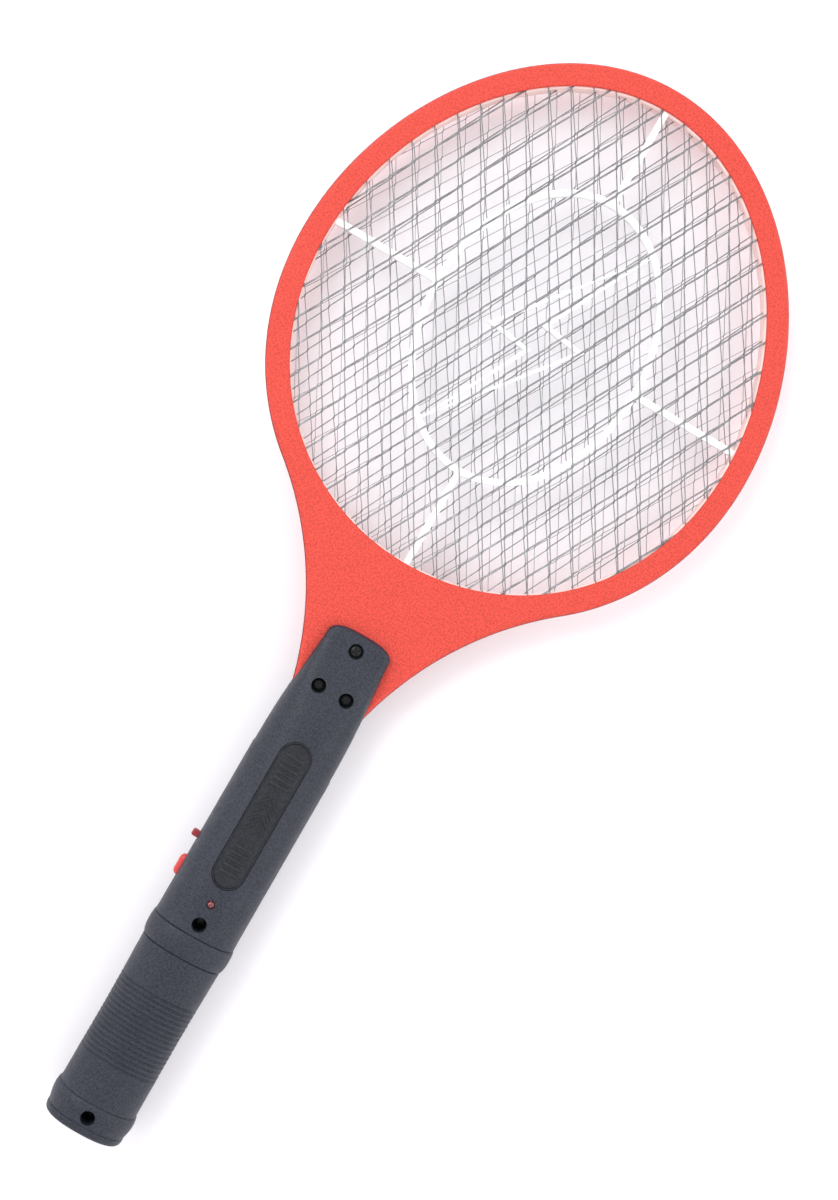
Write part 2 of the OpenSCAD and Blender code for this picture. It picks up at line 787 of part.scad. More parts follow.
module tube(route, d, n = 8) {
  count = len(route);
  points = [for (i = [0 : count - 1], p = ring(route[i], heading(route, i), d / 2, n)) p];
  sides = [for (i = [0 : count - 2], k = [0 : n - 1])
    [i * n + k, i * n + (k + 1) % n, (i + 1) * n + (k + 1) % n, (i + 1) * n + k]];
  polyhedron(points, concat(sides,
    [[for (k = [n - 1 : -1 : 0]) k], [for (k = [0 : n - 1]) (count - 1) * n + k]]));
}

// Coiled spring along +Y, from a plate to the flat end of a cell
module contact_spring(length) {
  turns = 3.5;
  steps = 56;
  tube([for (i = [0 : steps]) let (t = i / steps, r = 4.2 - 1.6 * t)
    [r * cos(360 * turns * t), 0.4 + (length - 0.8) * t, r * sin(360 * turns * t)]], 0.6, 6);
}

module battery_springs() {
  color("silver") placed() {
    translate([-cell_x, bay_y0 + plate_t, mid_z]) contact_spring(spring_l);
    translate([cell_x, bay_y1 - plate_t, mid_z]) rotate(180) contact_spring(spring_l);
  }
}

// A plate behind each cell's end, with a raised pad that reaches the nub
module contact_plate(width, height) {
  translate([-width / 2, 0, -height / 2]) cube([width, plate_t, height]);
}

module terminal_plates() {
  color("silver") placed() {
    for (side = [-1, 1]) translate([side * cell_x, bay_y1 - plate_t, mid_z]) contact_plate(plate_w, plate_h);
    translate([-cell_x, cell_y0 + cell_l + fit, mid_z]) rotate([-90, 0, 0])
      cylinder(h = bay_y1 - plate_t - cell_y0 - cell_l - fit + 0.1, d = pad_d);
  }
}

module bridge_plate() {
  color("silver") placed() {
    translate([0, bay_y0, mid_z]) contact_plate(2 * cell_x + plate_w, plate_h);
    translate([cell_x, cell_y0 - fit, mid_z]) rotate([90, 0, 0])
      cylinder(h = cell_y0 - fit - bay_y0 - plate_t + 0.1, d = pad_d);
  }
}

// ---- wires ----

module battery_wires() {
  color("crimson") placed() for (side = [-1, 1])
    tube([[side * 8, wire_y0, mid_z + 3], [side * 8, wire_y0 + 4, mid_z + 3],
      [side * 9, wire_y0 + 9, mid_z + 1], [side * 9.5, collar_screw_y, mid_z - 1],
      [side * 9.5, board_y0 + 1, pad_z + 0.4], [side * 9.5, board_y0 + 4, pad_z]], wire_d);
}

module grid_wire() {
  color("red") placed()
    tube([[-9, board_y1 - 4, pad_z], [-10, board_y1, pad_z + 0.6], [-entry_x, tongue_y, mid_z],
      [-between_x, neck_screw_y - boss_d, mid_z], [-between_x, neck_screw_y + boss_d - 1, mid_z],
      [-beside_x, top_screw_y - boss_d / 2, mid_z], [-beside_x, top_screw_y + boss_d / 2, mid_z],
      [-tab_x, tab_y - 6, mid_z + 1], [-tab_x, tab_y, mid_z + sheet_t / 2 + wire_d / 2 + fit],
      [-tab_x, tab_y + 3, mid_z + sheet_t / 2 + wire_d / 2 + fit]], wire_d);
}

module guard_wires() {
  color("black") placed() {
    for (up = [-1, 1])
      tube([[9 - up * 0.9, board_y1 - 4, pad_z], [10 - up * 0.2, board_y1, pad_z + 0.6 + (up + 1)],
        [entry_x, tongue_y, mid_z + up], [between_x, neck_screw_y - boss_d, mid_z + up],
        [between_x, neck_screw_y + boss_d - 1, mid_z + up], [beside_x, top_screw_y - boss_d / 2, mid_z + up],
        [beside_x, top_screw_y + boss_d / 2, mid_z + up], [tab_x, tab_y - 6, mid_z + up * (guard_z - wire_d)],
        [tab_x, tab_y, mid_z + up * (guard_z - wire_d / 2 - fit)],
        [tab_x, tab_y + 3, mid_z + up * (guard_z - wire_d / 2 - fit)]], wire_d);
  }
}

frame_front();
frame_rear();
guard_sheet_front();
guard_sheet_rear();
inner_sheet();
spacer_front();
spacer_rear();
handle_front_shell();
handle_rear_shell();
battery_door();
badge_plate();
handle_screws();
neck_screws();
push_button();
push_switch_plunger();
push_switch_body();
slide_switch_knob();
slide_switch_body();
led_lens();
led_leads();
circuit_board();
transformer_core();
transformer_bobbin();
transformer_winding();
storage_capacitor();
rectifier_diodes();
resistors();
transistor();
battery_left();
battery_right();
battery_springs();
terminal_plates();
bridge_plate();
battery_wires();
grid_wire();
guard_wires();
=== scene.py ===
"""Looks of the electric fly swatter, built in millimetres about the CAD's own origin and scaled to metres.

Y runs from the butt to the top of the head, Z is the front. The middle plane between the halves is MID.
"""

import json
import math

import bmesh
import bpy
import numpy as np
from mathutils import Matrix, Vector, geometry


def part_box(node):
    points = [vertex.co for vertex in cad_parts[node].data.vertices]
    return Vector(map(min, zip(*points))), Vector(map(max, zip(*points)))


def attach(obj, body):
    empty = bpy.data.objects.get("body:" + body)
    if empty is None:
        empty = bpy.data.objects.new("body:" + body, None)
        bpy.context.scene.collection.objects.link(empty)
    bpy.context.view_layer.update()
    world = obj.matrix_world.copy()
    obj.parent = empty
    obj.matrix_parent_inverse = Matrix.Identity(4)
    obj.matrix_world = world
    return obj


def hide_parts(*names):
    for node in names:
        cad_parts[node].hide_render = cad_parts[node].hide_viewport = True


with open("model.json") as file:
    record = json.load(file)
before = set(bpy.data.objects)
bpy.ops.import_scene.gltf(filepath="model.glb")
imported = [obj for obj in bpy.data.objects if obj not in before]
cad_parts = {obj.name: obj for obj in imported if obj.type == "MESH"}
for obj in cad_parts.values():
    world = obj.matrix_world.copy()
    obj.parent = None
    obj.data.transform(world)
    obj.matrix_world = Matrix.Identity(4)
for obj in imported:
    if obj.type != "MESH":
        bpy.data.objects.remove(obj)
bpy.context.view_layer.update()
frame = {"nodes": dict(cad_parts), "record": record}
MM = 0.001


def cad_box(node):
    """Lowest and highest corner of a CAD node, in millimetres."""
    low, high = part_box(node)
    return np.array(low) / MM, np.array(high) / MM


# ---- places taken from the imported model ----

rear_low, _ = cad_box("frame_rear")
front_low, front_high = cad_box("frame_front")
shell_low, shell_high = cad_box("handle_rear_shell")
badge_low, badge_high = cad_box("badge_plate")
button_low, button_high = cad_box("push_button")
knob_low, knob_high = cad_box("slide_switch_knob")
lens_low, lens_high = cad_box("led_lens")
door_low, door_high = cad_box("battery_door")

BUTT = shell_low[1]  # y of the butt's end
MID = front_low[2]  # z of the middle plane
HALF_T = front_high[2] - MID  # half the frame's thickness
EGG = 0.075
RIM_W = 9.9
HEAD_TOP = front_high[1]
OPEN_L, OPEN_W = 216.6, 191.9
HEAD_Y = HEAD_TOP - RIM_W - OPEN_L / 2
SEAT_W = 4.5
LIP_T = 1.5
HANDLE_L = shell_high[1] - BUTT
HALF_W, HALF_D = 18.25, 16.8
BUTT_SEAM, LIP_SEAM, COLLAR_0, COLLAR_1 = 13.3, 3.3, 82.3, 92.5


# ---- mesh helpers ----


def new_object(name, verts, faces):
    """A mesh object from points in millimetres."""
    mesh = bpy.data.meshes.new(name)
    mesh.from_pydata([tuple(float(c) * MM for c in v) for v in verts], [], [tuple(f) for f in faces])
    mesh.validate()
    obj = bpy.data.objects.new(name, mesh)
    bpy.context.scene.collection.objects.link(obj)
    return obj


def recalc(obj):
    """Makes every face point outwards."""
    bm = bmesh.new()
    bm.from_mesh(obj.data)
    bmesh.ops.remove_doubles(bm, verts=bm.verts, dist=1e-7)
    bmesh.ops.recalc_face_normals(bm, faces=bm.faces)
    bm.to_mesh(obj.data)
    bm.free()
    return obj


def smooth(obj, angle=35):
    obj.data.shade_smooth()
    obj.data.set_sharp_from_angle(angle=math.radians(angle))
    return obj


def weighted(obj):
    mod = obj.modifiers.new("normals", "WEIGHTED_NORMAL")
    mod.keep_sharp = True
    mod.weight = 80
    return obj


def bake_modifiers(obj):
    """Applies the object's modifiers to its mesh."""
    dg = bpy.context.evaluated_depsgraph_get()
    mesh = bpy.data.meshes.new_from_object(obj.evaluated_get(dg))
    obj.modifiers.clear()
    obj.data = mesh
    return obj


def drop(obj):
    mesh = obj.data
    bpy.data.objects.remove(obj)
    if mesh.users == 0:
        bpy.data.meshes.remove(mesh)


def cut(obj, cutters, operation="DIFFERENCE"):
    """Boolean of obj with each cutter, which is then removed."""
    for c in cutters:
        mod = obj.modifiers.new("cut", "BOOLEAN")
        mod.operation = operation
        mod.solver = "EXACT"
        mod.object = c
    bake_modifiers(obj)
    for c in cutters:
        drop(c)
    return obj


def join(name, objs):
    """One object from several, with their meshes put together."""
    bm = bmesh.new()
    for o in objs:
        bm.from_mesh(o.data)
    mesh = bpy.data.meshes.new(name)
    bm.to_mesh(mesh)
    bm.free()
    for o in objs:
        drop(o)
    made = bpy.data.objects.new(name, mesh)
    bpy.context.scene.collection.objects.link(made)
    return made


def loft(name, rings, closed=True, caps=True):
    """Quads between rings of equally many points. closed: each ring is a loop. caps: n-gons at both ends."""
    n = len(rings[0])
    verts = [p for r in rings for p in r]
    faces = []
    span = n if closed else n - 1
    for i in range(len(rings) - 1):
        for k in range(span):
            a, b = i * n + k, i * n + (k + 1) % n
            faces.append((a, b, b + n, a + n))
    if caps:
        faces.append(tuple(range(n - 1, -1, -1)))
        faces.append(tuple((len(rings) - 1) * n + k for k in range(n)))
    return recalc(new_object(name, verts, faces))


def block(name, low, high, bevel=0.0, segments=3):
    """A box with rounded edges."""
    x0, y0, z0 = low
    x1, y1, z1 = high
    verts = [(x, y, z) for z in (z0, z1) for y in (y0, y1) for x in (x0, x1)]
    faces = [(0, 2, 3, 1), (4, 5, 7, 6), (0, 1, 5, 4), (2, 6, 7, 3), (0, 4, 6, 2), (1, 3, 7, 5)]
    obj = new_object(name, verts, faces)
    if bevel:
        mod = obj.modifiers.new("bevel", "BEVEL")
        mod.width = bevel * MM
        mod.segments = segments
        mod.limit_method = "NONE"
        bake_modifiers(obj)
    return recalc(obj)


def turned(name, centre, profile, n=48, axis="Z"):
    """A solid of revolution from (radius, height) pairs about an axis through centre."""
    rings = []
    for r, h in profile:
        ring = []
        for k in range(n):
            t = 2 * math.pi * k / n
            p = (r * math.cos(t), r * math.sin(t), h)
            if axis == "X":
                p = (h, p[0], p[1])
            elif axis == "Y":
                p = (p[0], h, p[1])
            ring.append(tuple(centre[i] + p[i] for i in range(3)))
        rings.append(ring)
    return loft(name, rings)


# ---- the head ----


def oval(grow=0.0, t0=0.0, t1=2 * math.pi, n=240, inner=True, end=False):
    """Points of the egg-shaped opening (or outer rim), grown outwards."""
    a = OPEN_W / 2 + grow + (0 if inner else RIM_W)
    b = OPEN_L / 2 + grow + (0 if inner else RIM_W)
    t = np.linspace(t0, t1, n, endpoint=end)
    return np.c_[a * np.cos(t) * (1 - EGG * np.sin(t)), HEAD_Y + b * np.sin(t)]


def neck_flank(n=60):
    """Points of the neck's right flank, from the tongue's end to the rim, on a circle tangent to it."""
    a, b, t, half = OPEN_W / 2 + RIM_W, OPEN_L / 2 + RIM_W, math.radians(53.4), 12.2
    s, c = math.sin(t), math.cos(t)
    x0, y0 = a * c * (1 + EGG * s), HEAD_Y - b * s
    nx, ny = b * c, a * (EGG * c * c - s * (1 + EGG * s))
    size = math.hypot(nx, ny)
    nx, ny = nx / size, ny / size
    r = (x0 - half) / (1 - nx)
    cx, cy = half + r, y0 + r * ny
    low = math.asin((rear_low[1] - cy) / r)
    u = np.linspace(low, math.asin(-ny), n, endpoint=False)
    return np.c_[cx - r * np.cos(u), cy + r * np.sin(u)], t


def frame_outline():
    side, t = neck_flank()
    rim = oval(0, -t, math.pi + t, 300, inner=False, end=True)
    return np.r_[side, rim, side[::-1] * [-1, 1]]


def inset(loop, d):
    """A closed counter-clockwise loop with every point moved inwards by d along its normal."""
    before, after = np.roll(loop, 1, 0), np.roll(loop, -1, 0)
    e1, e2 = loop - before, after - loop
    n1 = np.c_[-e1[:, 1], e1[:, 0]] / np.linalg.norm(e1, axis=1)[:, None]
    n2 = np.c_[-e2[:, 1], e2[:, 0]] / np.linalg.norm(e2, axis=1)[:, None]
    n = n1 + n2
    n /= np.maximum(np.linalg.norm(n, axis=1), 1e-9)[:, None]
    stretch = 1 / np.maximum((n * n1).sum(1), 0.35)
    return loop + n * (d * stretch)[:, None]


def inside(points, loop):
    """Which points lie inside the loop."""
    x, y = points[:, 0], points[:, 1]
    hit = np.zeros(len(points), bool)
    a, b = loop, np.roll(loop, -1, 0)
    for (x0, y0), (x1, y1) in zip(a, b):
        crosses = (y0 > y) != (y1 > y)
        if crosses.any():
            hit ^= crosses & (x < (x1 - x0) * (y - y0) / (y1 - y0 + 1e-12) + x0)
    return hit


def face_centres(obj):
    """Middle of each face, seen from the front, in millimetres."""
    return np.array([face.center[:2] for face in obj.data.polygons]) / MM


def flat_fill(loops, grid=6.0):
    """Triangles of the flat region between loops, with a grid of points inside so that they stay regular."""
    points = [Vector(p) for loop in loops for p in loop]
    edges, base = [], 0
    for loop in loops:
        n = len(loop)
        edges += [(base + i, base + (i + 1) % n) for i in range(n)]
        base += n
    low, high = loops[0].min(0), loops[0].max(0)
    gx, gy = np.meshgrid(np.arange(low[0], high[0], grid), np.arange(low[1], high[1], grid))
    extra = np.c_[gx.ravel(), gy.ravel()]
    keep = np.zeros(len(extra), bool)
    for loop in loops:
        keep ^= inside(extra, loop)
    all_edges = np.concatenate(loops)
    extra = extra[keep]
    near = np.array([np.min(np.hypot(*(all_edges - e).T)) for e in extra]) if len(extra) else np.zeros(0)
    points += [Vector(p) for p in extra[near > 2.0]]
    verts, _, tris, _, _, _ = geometry.delaunay_2d_cdt(points, edges, [], 0, 1e-6)
    verts = np.array([tuple(v) for v in verts])
    tris = np.array([tuple(t) for t in tris])
    centre = verts[tris].mean(1)
    keep = np.zeros(len(tris), bool)
    for loop in loops:
        keep ^= inside(centre, loop)
    return verts, tris[keep]


def arc(radius, steps):
    """(inset, drop) pairs of a quarter round from the side wall to the flat."""
    return [(radius * (1 - math.cos(t)), radius * (1 - math.sin(t)))
            for t in np.linspace(0, math.pi / 2, steps)]


def frame_half(name, side):
    """Half of the racket frame. side is 1 for the front and -1 for the rear."""
    outer, hole = frame_outline(), oval()
    edge, lip = 2.4, 0.7
    wall = [(0.35, 0.0), (0.12, 0.1), (0.0, 0.35)] + [(i, HALF_T - d) for i, d in arc(edge, 9)]
    seat_t = HALF_T - LIP_T
    verts, faces = [], []

    def ring(loop, z):
        start = len(verts)
        verts.extend((x, y, MID + side * z) for x, y in loop)
        return start

    def strip(a, b, n):
        for k in range(n):
            j = (k + 1) % n
            faces.append((a + k, a + j, b + j, b + k))

    def flat(loops, z):
        v, t = flat_fill(loops)
        start = len(verts)
        verts.extend((x, y, MID + side * z) for x, y in v)
        faces.extend(tuple(start + i for i in tri) for tri in t)

    n = len(outer)
    rings = [ring(inset(outer, i), z) for i, z in wall]
    for a, b in zip(rings, rings[1:]):
        strip(a, b, n)
    m = len(hole)
    profile = [(lip * (1 - math.sin(t)), HALF_T - lip * (1 - math.cos(t)))
               for t in np.linspace(0, math.pi / 2, 7)]
    profile += [(0.0, seat_t), (SEAT_W, seat_t), (SEAT_W, 0.0)]
    rings = [ring(oval(g), z) for g, z in profile]
    for a, b in zip(rings, rings[1:]):
        strip(a, b, m)
    flat([inset(outer, wall[-1][0]), oval(profile[0][0])], HALF_T)
    flat([inset(outer, wall[0][0]), oval(SEAT_W)], 0.0)
    obj = new_object(name, verts, faces)
    bm = bmesh.new()
    bm.from_mesh(obj.data)
    bmesh.ops.remove_doubles(bm, verts=bm.verts, dist=2e-6)
    bmesh.ops.recalc_face_normals(bm, faces=bm.faces)
    bm.to_mesh(obj.data)
    bm.free()
    return weighted(smooth(obj, 40))


RIM_IN = 0.5  # how far the spacers' rim shows inside the opening

# Expanded metal: diamonds cut and stretched from one sheet
DIAMOND_L, DIAMOND_W, BOND_L = 19.64, 10.755, 1.5


def strand(p0, p1, z0, z1, width, thick, twist, steps=5):
    """Rings of one strand from p0 to p1, leaning over in its middle as a stretched strand does."""
    rings = []
    d = np.array(p1) - np.array(p0)
    d /= np.linalg.norm(d)
    side = np.array([-d[1], d[0]])
    for i in range(steps + 1):
        f = i / steps
        lean = math.radians(twist) * math.sin(math.pi * min(1, max(0, f))) ** 0.5
        c, s = math.cos(lean), math.sin(lean)
        p = np.array(p0) + (np.array(p1) - np.array(p0)) * f
        z = z0 + (z1 - z0) * f
        ring = []
        for u, v in ((-1, -1), (1, -1), (1, 1), (-1, 1)):
            w, h = u * width / 2, v * thick / 2
            across, up = w * c - h * s, w * s + h * c
            ring.append((p[0] + side[0] * across, p[1] + side[1] * across, z + up))
        rings.append(ring)
    return rings


def expanded_sheet(name, z_mid, turn, shift, stretch=1.0, widths=(0.5, 0.8), lean=(10, -28), thick=0.45,
                   border=1.6):
    """One stretched sheet with its flat border. widths and lean are for the two families of strands."""
    limit = oval(SEAT_W - 0.6)
    verts, faces = [], []

    def add(rings):
        start = len(verts)
        n = len(rings[0])
        for r in rings:
            verts.extend(r)
        for i in range(len(rings) - 1):
            for k in range(n):
                a, b = start + i * n + k, start + i * n + (k + 1) % n
                faces.append((a, b, b + n, a + n))
        faces.append(tuple(start + k for k in range(n - 1, -1, -1)))
        faces.append(tuple(start + (len(rings) - 1) * n + k for k in range(n)))

    c, s = math.cos(math.radians(turn)), math.sin(math.radians(turn))

    def place(x, y):
        return (c * x - s * y, HEAD_Y + s * x + c * y)

    cols = int(OPEN_W * 1.1 / DIAMOND_W) + 2
    rows = int(OPEN_L * 1.05 / DIAMOND_L) + 2
    tip, half = DIAMOND_L * stretch / 2, DIAMOND_W * stretch / 2
    bond = BOND_L / 2
    pieces = []
    for i in range(-cols, cols + 1):
        for j in range(-rows, rows + 1):
            if (i + j) % 2:
                continue
            x, y = (i + shift[0]) * half, (j + shift[1]) * tip
            if math.hypot(x / (OPEN_W * 0.6), y / (OPEN_L * 0.56)) > 1:
                continue
            # A node of the mesh is the short bond at (x, y); four strands leave it
            pieces.append((2, place(x, y - bond), place(x, y + bond)))
            for family, sx in enumerate((-1, 1)):
                start = place(x + sx * 0.12, y + bond * 0.8)
                pieces.append((family, start, place(x + sx * (half - 0.12), y + tip - bond * 0.8)))
    for family, p0, p1 in pieces:
        ends = np.array([p0, p1])
        ok = inside(ends, limit)
        if not ok.any():
            continue
        if not ok.all():  # ends in the border: cut it back by halving until it lies inside
            a, b = (ends[0], ends[1]) if ok[0] else (ends[1], ends[0])
            lo, hi = 0.0, 1.0
            for _ in range(12):
                m = (lo + hi) / 2
                if inside(np.array([a + (b - a) * m]), limit)[0]:
                    lo = m
                else:
                    hi = m
            p0, p1 = tuple(a), tuple(a + (b - a) * lo)
            if math.dist(p0, p1) < 0.6:
                continue
        if family == 2:
            add(strand(p0, p1, z_mid, z_mid, sum(widths), thick, 0, 1))
        else:
            add(strand(p0, p1, z_mid, z_mid, widths[family], thick, lean[family]))
    n = 240
    outer, inner = oval(SEAT_W - 0.1, n=n), oval(SEAT_W - 0.1 - border, n=n)
    start = len(verts)
    for loop, z in ((outer, -1), (outer, 1), (inner, 1), (inner, -1)):
        verts.extend((x, y, z_mid + z * thick / 2) for x, y in loop)
    for q in range(4):
        a, b = start + q * n, start + ((q + 1) % 4) * n
        for k in range(n):
            j = (k + 1) % n
            faces.append((a + k, a + j, b + j, b + k))
    obj = new_object(name, verts, faces)
    return smooth(obj, 30)


def bar_along(path, width, z0, z1, closed, edge=0.35):
    """Rings of a flat bar with rounded edges along a path, mitred at its corners."""
    path = np.array(path, float)
    n = len(path)
    half = width / 2
    section = [(-half, z0 + edge), (-half + edge * 0.3, z0 + edge * 0.3), (-half + edge, z0),
               (half - edge, z0),
               (half - edge * 0.3, z0 + edge * 0.3), (half, z0 + edge), (half, z1 - edge),
               (half - edge * 0.3, z1 - edge * 0.3), (half - edge, z1), (-half + edge, z1),
               (-half + edge * 0.3, z1 - edge * 0.3), (-half, z1 - edge)]
    rings = []
    for i in range(n):
        if closed:
            d1, d2 = path[i] - path[i - 1], path[(i + 1) % n] - path[i]
        else:
            d1 = path[i] - path[i - 1] if i else path[1] - path[0]
            d2 = path[i + 1] - path[i] if i < n - 1 else d1
        d1, d2 = d1 / np.linalg.norm(d1), d2 / np.linalg.norm(d2)
        t = d1 + d2
        t /= max(np.linalg.norm(t), 1e-9)
        side = np.array([-t[1], t[0]])
        stretch = min(3.0, 1 / max(0.3, abs(side @ np.array([-d1[1], d1[0]]))))
        rings.append([(path[i][0] + side[0] * s * stretch, path[i][1] + side[1] * s * stretch, z)
                      for s, z in section])
    return rings


def spacer_piece(name, low, high, grid):
    """Insulating spacer: a rim and, with the grid, four spokes, an oval ring and a bolt drawn by bars."""
    z0, z1 = low + 0.02, high - 0.02
    sink = 0.03  # spokes are thinner than the ring by this on each side, so that no faces coincide
    ring_a, ring_b, bar, bolt_bar = 94.6 / 2, 127.6 / 2, 2.8, 1.8
    objs = []

    def closed_bar(path, width):
        rings = bar_along(path, width, z0, z1, True)
        objs.append(loft("bar", rings + [rings[0]], caps=False))

    def open_bar(p, q, width):
        objs.append(loft("bar", bar_along([p, q], width, z0 + sink, z1 - sink, False)))

    closed_bar(oval((SEAT_W - 0.1 - RIM_IN) / 2, n=180), SEAT_W - 0.1 + RIM_IN)
    if not grid:
        return smooth(join(name, objs), 50)
    t = np.linspace(0, 2 * math.pi, 150, endpoint=False)
    closed_bar(np.c_[ring_a * np.cos(t), HEAD_Y + ring_b * np.sin(t)], bar)
    for side in (-1, 1):
        open_bar((side * ring_a, HEAD_Y), (side * (OPEN_W / 2 + SEAT_W - 1.5), HEAD_Y), bar)
        open_bar((0, HEAD_Y + side * ring_b), (0, HEAD_Y + side * (OPEN_L / 2 + SEAT_W - 1.5)), bar)
    half = [(0.535, 0.832), (-0.442, -0.069), (-0.044, -0.109)]
    corners = np.array([(sign * x * ring_a, HEAD_Y + sign * y * ring_b) for sign in (1, -1) for x, y in half])
    closed_bar(inset(corners, bolt_bar / 2), bolt_bar)
    return smooth(join(name, objs), 50)


# ---- the handle ----

PROFILE = [
    (0.0, 16.55), (0.25, 17.0), (0.8, 17.35), (1.6, 17.55), (2.6, 17.62), (3.3, 17.55), (4.0, 17.62),
    (5.0, 17.78),
    (6.2, 18.12), (7.6, 18.36), (9.0, 18.52), (10.4, 18.55), (11.6, 18.42), (12.6, 18.18), (13.3, 17.85),
    (14.1, 17.62),
    (16.0, 17.58), (28.0, 17.56), (48.0, 17.44), (60.0, 17.56), (68.0, 17.64), (74.0, 17.8), (80.0, 17.88),
    (82.3, 17.95), (82.9, 18.25), (83.8, 18.62), (85.4, 18.9), (87.4, 19.02), (89.4, 19.02), (91.0, 18.88),
    (92.2, 18.68), (92.9, 18.42), (93.8, 18.32), (97.0, 18.27), (186.0, 18.25), (HANDLE_L, 18.25),
]
GROOVES = [30.9 + 2.2 * k for k in range(16)]
SEAMS = [(LIP_SEAM, 0.3), (BUTT_SEAM, 0.32), (COLLAR_0, 0.5), (COLLAR_1, 0.55)]
CROWN_Y0, CROWN_HALF, CROWN_D = 186.0, 14.45, 11.25


def half_width(y):
    """Half the handle's width at y from the butt, with grooves and seams."""
    xs, ws = zip(*PROFILE)
    w = float(np.interp(y, xs, ws))
    for g in GROOVES:
        if abs(y - g) < 1.5:
            w -= 0.5 * math.exp(-(((y - g) / 0.42) ** 4))
    for s, depth in SEAMS:
        if abs(y - s) < 1.5:
            w -= depth * math.exp(-(((y - s) / 0.24) ** 2))
    return w


def stations():
    """Where the handle's sections are taken: closer together where the surface has detail."""
    ys = {0.0, HANDLE_L}
    ys |= set(np.arange(0, HANDLE_L, 1.5))
    ys |= set(np.arange(0, 2.2, 0.2))
    ys |= set(np.arange(GROOVES[0] - 1.4, GROOVES[-1] + 1.4, 0.22))
    for s, _ in SEAMS:
        ys |= set(np.arange(s - 1.1, s + 1.1, 0.12))
    ys |= set(HANDLE_L - 9 * (1 - np.sin(np.linspace(0, math.pi / 2, 40))))
    found = sorted(ys)
    kept = [found[0]]
    for y in found[1:]:
        if y - kept[-1] > 0.04:
            kept.append(y)
    kept[-1] = HANDLE_L
    return kept


def clip(y):
    """Half width and half depth to which the tapering end is cut at y, far outside before it."""
    if y < CROWN_Y0 - 12:
        return 40.0, 40.0
    f = (y - CROWN_Y0) / (HANDLE_L - 8 - CROWN_Y0)
    wide = 18.9 + (CROWN_HALF - 18.25) * min(1, max(0, f)) if f > 0 else 18.9 - 0.35 * f * 8
    wide -= 0.45 * min(1, max(0, f))
    deep = (17.5 + (CROWN_D - 16.8) * min(1, max(0, f)) - 0.35 * min(1, max(0, f)) if f > 0
            else 17.5 - 0.35 * f * 8)
    end = HANDLE_L - 8.0
    if y > end:
        g = min(1.0, (y - end) / 8.0)
        wide *= max(0.0, 1 - g**3.6) ** (1 / 2.6)
    end = HANDLE_L - 3.0
    if y > end:
        g = min(1.0, (y - end) / 3.0)
        deep = HALF_T + (deep - HALF_T) * max(0.0, 1 - g**2.4) ** (1 / 2.4)
    return max(wide, 0.02), deep


def outer_point(y, t, shrink=0.0):
    """The handle's surface at y from the butt, in the direction t about the axis: x, z from the middle."""
    a = half_width(y) - shrink
    b = a * HALF_D / HALF_W
    c, s = math.cos(t), math.sin(t)
    base = (abs(c / a) ** 2.4 + abs(s / b) ** 2.4) ** (1 / 2.4)
    wide, deep = clip(y)
    wide, deep = max(wide - shrink, 0.02), deep - shrink
    p = 16
    f = (base**p + abs(c / wide) ** p + abs(s / deep) ** p) ** (1 / p)
    return c / f, s / f


def around(side, n=64):
    """Directions over one half, closer together at the parting edges."""
    t = np.linspace(0, math.pi, n + 1)
    t = t - 0.45 * np.sin(2 * t) / 2
    return [x if side > 0 else -x for x in t]


def shell_solid(name, side, gap=0.06):
    """One half of the handle as a closed solid, with a fine groove where the halves meet."""
    rings = []
    for y in stations():
        ring = []
        for t in around(side):
            x, z = outer_point(y, t)
            pull = 1 - 0.016 * math.exp(-((z / 0.3) ** 2))
            ring.append((x * pull, BUTT + y, MID + z + side * gap * (1 if abs(z) < 1e-6 else 0)))
        rings.append(ring)
    butt = []
    for f, dy in ((0.0, 0.7), (0.80, 0.7), (0.86, 0.25), (0.90, 0.0)):
        butt.append([(p[0] * f, BUTT + dy, MID + (p[2] - MID) * f + side * gap * (1 - f)) for p in rings[0]])
    return loft(name, butt + rings, closed=True, caps=False)


def hollow_cutter(name):
    """The space inside the shells, with the screw bosses and the bay's bulkheads left standing."""
    cell = half_width(20) - 2.0

    def prism(a, b, y0, y1):
        rings = []
        for y in (y0, y1):
            ring = []
            for k in range(64):
                t = 2 * math.pi * k / 64
                c, s = math.cos(t), math.sin(t)
                f = (abs(c / a) ** 2.4 + abs(s / b) ** 2.4) ** (1 / 2.4)
                ring.append((c / f, BUTT + y, MID + s / f))
            rings.append(ring)
        return loft(name, rings)

    low = prism(cell, cell * HALF_D / HALF_W, 2.0, 82.7)
    high = prism(HALF_W - 2, HALF_D - 2, 82.8, 190.0)
    solids = [turned("boss", (0, BUTT + y, MID - 20), [(4, 0), (4, 40)]) for y in (7.5, 97.9)]
    solids += [block("bulkhead", (-20, BUTT + y, MID - 20), (20, BUTT + y + 1.6, MID - 1))
               for y in (15.1, 80.7)]
    cut(low, [solids[0], solids[2], solids[3]])
    cut(high, [solids[1]])
    return [low, high]


def slot_cutters():
    """Slots in the left wall for the button and the knob."""
    gap = 0.3
    cutters = []
    for low, high, travel in ((button_low, button_high, 0), (knob_low, knob_high, 3.0)):
        mid_y = (low[1] + high[1]) / 2
        wide = 9.5 if travel == 0 else 3.1
        tall = 5.5 if travel == 0 else 4.0
        y1 = mid_y + wide / 2 + gap
        y0 = mid_y - wide / 2 - travel - gap
        cutters.append(block("slot", (-HALF_W - 6, y0, MID - tall / 2 - gap),
                             (-12, y1, MID + tall / 2 + gap), 0.5, 3))
    return cutters


def racetrack(width, y0, y1, n=24):
    r = width / 2
    a = [(r * math.cos(t), y1 - r + r * math.sin(t)) for t in np.linspace(0, math.pi, n)]
    b = [(r * math.cos(t), y0 + r + r * math.sin(t)) for t in np.linspace(math.pi, 2 * math.pi, n)]
    return np.array(a + b)


